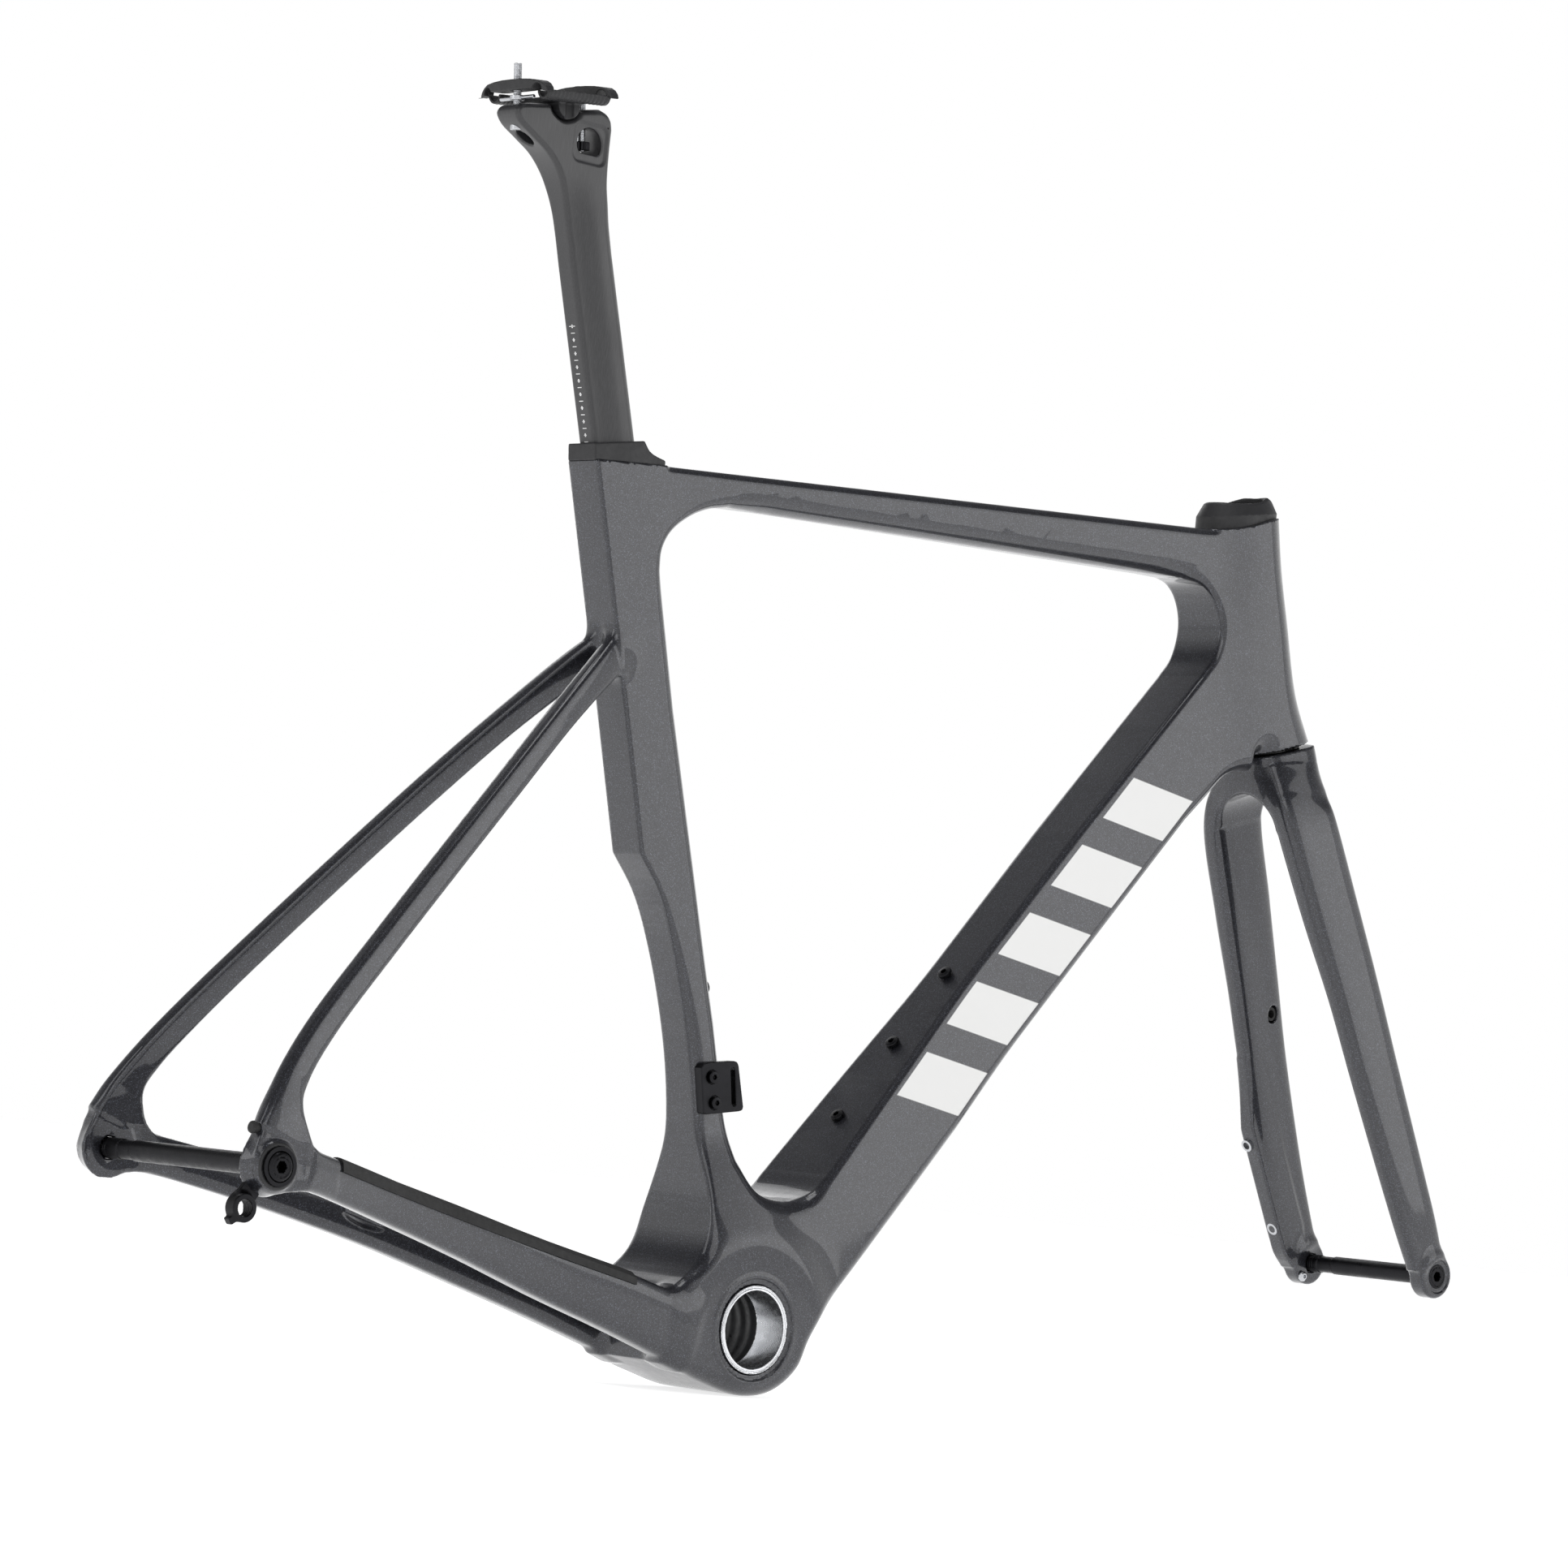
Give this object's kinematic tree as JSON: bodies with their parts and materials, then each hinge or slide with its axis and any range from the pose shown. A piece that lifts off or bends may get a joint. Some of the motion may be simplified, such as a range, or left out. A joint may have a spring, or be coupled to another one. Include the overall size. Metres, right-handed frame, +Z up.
{
  "type": "bicycle frame",
  "caption": "Carbon road bicycle frameset with fork, aero seatpost, saddle clamp, internal headset and threaded through-axles.",
  "frame": {"origin": "centre of the bottom bracket, on the mid-plane", "axes": "+X forward, +Y to the rider's left (the chain is on -Y), +Z up with both axles level"},
  "size_m": [1.036, 0.1714, 0.7556],
  "materials": {
    "paint": "fine metallic graphite paint under a gloss clear coat, on carbon fibre",
    "satin_carbon": "satin dark grey carbon",
    "matte_black": "matte dark grey",
    "black_metal": "satin black anodised",
    "steel": "plain steel",
    "machined": "turned bright aluminium",
    "rubber": "soft black rubber"
  },
  "bodies": {
    "frame": {"down_tube": "paint", "top_tube": "paint", "seat_tube": "paint", "head_tube": "paint", "bottom_bracket_shell": "paint", "chainstay_right": "paint", "chainstay_left": "paint", "seatstay_right": "paint", "seatstay_left": "paint", "dropout_right": "paint", "dropout_left": "paint", "seat_clamp_cover": "matte_black", "headset_top_cover": "matte_black", "derailleur_hanger": "black_metal", "hanger_nut": "black_metal", "bottle_bolt_down_tube_top": "black_metal", "bottle_bolt_down_tube_middle": "black_metal", "bottle_bolt_down_tube_bottom": "black_metal", "bottle_bolt_seat_tube_top": "black_metal", "bottle_bolt_seat_tube_bottom": "black_metal", "front_derailleur_mount": "black_metal", "mount_bolt_1": "black_metal", "mount_bolt_2": "black_metal", "seat_clamp_wedge": "steel", "seat_clamp_bolt": "steel", "upper_bearing": "steel", "lower_bearing": "steel", "shell_sleeve_right": "machined", "shell_sleeve_left": "machined", "chainstay_protector": "rubber", "seatstay_port_plug": "rubber", "shell_port_plug": "rubber"},
    "fork": {"steerer_tube": "paint", "crown_race": "steel", "compression_ring": "steel", "expander_plug": "black_metal", "fork_crown": "paint", "fork_leg_right": "paint", "fork_leg_left": "paint", "fork_hose_grommet": "rubber", "brake_insert_1": "steel", "brake_insert_2": "steel", "axle_pinch_bolt": "steel"},
    "seatpost": {"seatpost": "satin_carbon"},
    "saddle_clamp": {"rail_cradle": "matte_black", "front_rail_yoke": "matte_black", "rear_rail_yoke": "matte_black", "front_clamp_bolt": "steel", "rear_clamp_bolt": "steel", "rear_cross_pin": "steel"},
    "tilt_nut": {"tilt_thumb_nut": "black_metal"},
    "rear_axle": {"rear_axle": "black_metal"},
    "front_axle": {"front_axle": "black_metal"}
  },
  "joints": [
    {"name": "steering", "type": "hinge", "parent": "frame", "child": "fork", "pos_m": [0.53904, 0, 0.05608], "axis": [-0.284, 0, 0.9588], "range_deg": [-50, 50]},
    {"name": "seatpost_height", "type": "slide", "parent": "frame", "child": "seatpost", "axis": [-0.2924, 0, 0.9563], "range_m": [-0.058, 0.07]},
    {"name": "saddle_tilt", "type": "hinge", "parent": "seatpost", "child": "saddle_clamp", "pos_m": [-0.219, 0, 0.696], "axis": [0, 1, 0], "range_deg": [-4, 4]},
    {"name": "thumb_nut_turn", "type": "hinge", "parent": "saddle_clamp", "child": "tilt_nut", "pos_m": [-0.19913, 0, 0.69826], "axis": [-0.1132, 0, 0.9936], "continuous": true},
    {"name": "rear_axle_pull", "type": "slide", "parent": "frame", "child": "rear_axle", "axis": [0, -1, 0], "range_m": [0, 0.175]},
    {"name": "front_axle_pull", "type": "slide", "parent": "fork", "child": "front_axle", "axis": [0, -1, 0], "range_m": [0, 0.125]}
  ]
}
